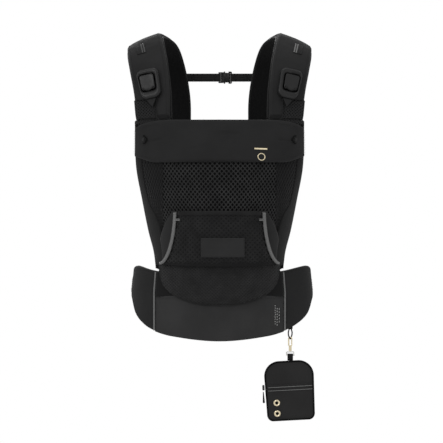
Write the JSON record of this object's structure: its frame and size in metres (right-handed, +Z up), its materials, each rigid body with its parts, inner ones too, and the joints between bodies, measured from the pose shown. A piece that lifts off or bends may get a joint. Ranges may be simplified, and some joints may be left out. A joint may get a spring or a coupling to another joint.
{
  "type": "soft baby carrier",
  "caption": "Soft structured baby carrier as worn: mesh panel with folded head support, padded waistband, shoulder straps with buckles, neck strap and a clip-on pouch.",
  "frame": {"origin": "on the wearer's upright axis, level with the lowest point of the waistband", "axes": "+Z up, -Y out of the carrier's front, +X towards the wearer's left side as they wear it"},
  "size_m": [0.4297, 0.3873, 0.8838],
  "materials": {
    "mesh": "open rhombic mesh, matt black",
    "lining": "spacer mesh, matt black",
    "fabric": "smooth woven, black",
    "foam": "closed-cell foam",
    "trim": "reflective piping, grey",
    "patch": "woven patch",
    "webbing": "woven webbing, black",
    "moulded": "moulded, satin black",
    "gold": "pale gold plate",
    "silver": "satin"
  },
  "bodies": {
    "carrier": {"front_panel": "mesh", "panel_lining": "lining", "side_panel_left": "fabric", "side_panel_right": "fabric", "kangaroo_pocket": "mesh", "pocket_piping_left": "trim", "pocket_piping_right": "trim", "label_patch": "patch", "seat_panel": "mesh", "waistband_cover": "fabric", "waistband_foam": "foam", "waistband_lining": "lining", "waistband_wing_left": "fabric", "waistband_wing_right": "fabric", "reflective_strip_left": "trim", "reflective_strip_right": "trim", "waist_webbing_left": "webbing", "waist_webbing_right": "webbing", "waist_buckle_housing": "moulded", "shoulder_strap_left": "fabric", "shoulder_strap_right": "fabric", "shoulder_lining_left": "lining", "shoulder_lining_right": "lining", "strap_base_left": "mesh", "strap_base_right": "mesh", "shoulder_buckle_left": "moulded", "shoulder_buckle_right": "moulded", "buckle_tongue_left": "fabric", "buckle_tongue_right": "fabric", "side_webbing_left": "webbing", "side_webbing_right": "webbing", "side_buckle_housing_left": "moulded", "side_buckle_housing_right": "moulded", "strap_webbing_left": "webbing", "strap_webbing_right": "webbing", "cord_loop": "webbing"},
    "head_support": {"head_support": "fabric", "snap_button_left": "moulded", "snap_button_right": "moulded"},
    "neck_strap": {"neck_slider_left": "moulded", "neck_slider_right": "moulded", "neck_webbing_left": "webbing", "neck_webbing_right": "webbing", "neck_buckle_housing": "moulded"},
    "neck_insert": {"neck_buckle_insert": "moulded"},
    "waist_insert": {"waist_buckle_insert": "moulded"},
    "side_insert_left": {"side_buckle_insert_left": "moulded"},
    "side_insert_right": {"side_buckle_insert_right": "moulded"},
    "button_left": {"press_button_left": "moulded"},
    "button_right": {"press_button_right": "moulded"},
    "hook": {"snap_hook": "gold"},
    "gate": {"hook_gate": "gold"},
    "pouch": {"swivel_eye": "silver", "pouch_tab": "webbing", "pouch_body": "fabric", "eyelet_upper": "gold", "eyelet_lower": "gold"},
    "zip_slider": {"zip_slider": "moulded"},
    "zip_pull": {"zip_puller": "moulded"}
  },
  "joints": [
    {"name": "head_support_fold", "type": "hinge", "parent": "carrier", "child": "head_support", "pos_m": [0, -0.19, 0.498], "axis": [-1, 0, 0], "range_deg": [0, 160]},
    {"name": "neck_strap_slide", "type": "slide", "parent": "carrier", "child": "neck_strap", "axis": [0, 0, 1], "range_m": [-0.03, 0.035]},
    {"name": "neck_buckle_release", "type": "slide", "parent": "neck_strap", "child": "neck_insert", "axis": [-1, 0, 0], "range_m": [0, 0.02], "deforming": ["neck_webbing_left"]},
    {"name": "waist_buckle_release", "type": "slide", "parent": "carrier", "child": "waist_insert", "axis": [-1, 0, 0], "range_m": [0, 0.03], "deforming": ["waist_webbing_left"]},
    {"name": "side_buckle_release_left", "type": "slide", "parent": "carrier", "child": "side_insert_left", "axis": [0.2668, 0.7662, 0.5846], "range_m": [0, 0.022], "deforming": ["strap_webbing_left"]},
    {"name": "side_buckle_release_right", "type": "slide", "parent": "carrier", "child": "side_insert_right", "axis": [-0.2668, 0.7662, 0.5846], "range_m": [0, 0.022], "deforming": ["strap_webbing_right"]},
    {"name": "shoulder_button_press_left", "type": "slide", "parent": "carrier", "child": "button_left", "axis": [0.2593, 0.9342, -0.2449], "range_m": [0, 0.0022], "stiffness_N_per_m": 400, "springref_m": -0.001},
    {"name": "shoulder_button_press_right", "type": "slide", "parent": "carrier", "child": "button_right", "axis": [-0.2593, 0.9342, -0.2449], "range_m": [0, 0.0022], "stiffness_N_per_m": 400, "springref_m": -0.001},
    {"name": "pouch_swing", "type": "hinge", "parent": "carrier", "child": "hook", "pos_m": [0.16, -0.074, 0.0045], "axis": [0, 1, 0], "range_deg": [-40, 40]},
    {"name": "hook_gate_open", "type": "hinge", "parent": "hook", "child": "gate", "pos_m": [0.16345, -0.074, -0.0081], "axis": [0, -1, 0], "range_deg": [0, 15], "stiffness_Nm_per_rad": 0.02, "springref_deg": -5.73},
    {"name": "pouch_swivel", "type": "hinge", "parent": "hook", "child": "pouch", "pos_m": [0.16, -0.074, -0.024], "axis": [0, 0, 1], "continuous": true},
    {"name": "zip_slide", "type": "slide", "parent": "pouch", "child": "zip_slider", "axis": [-0.0523, 0, 0.9986], "range_m": [-0.05, 0.015]},
    {"name": "zip_pull_swing", "type": "hinge", "parent": "zip_slider", "child": "zip_pull", "pos_m": [0.09901, -0.074, -0.11434], "axis": [0, 1, 0], "range_deg": [0, 120]}
  ]
}
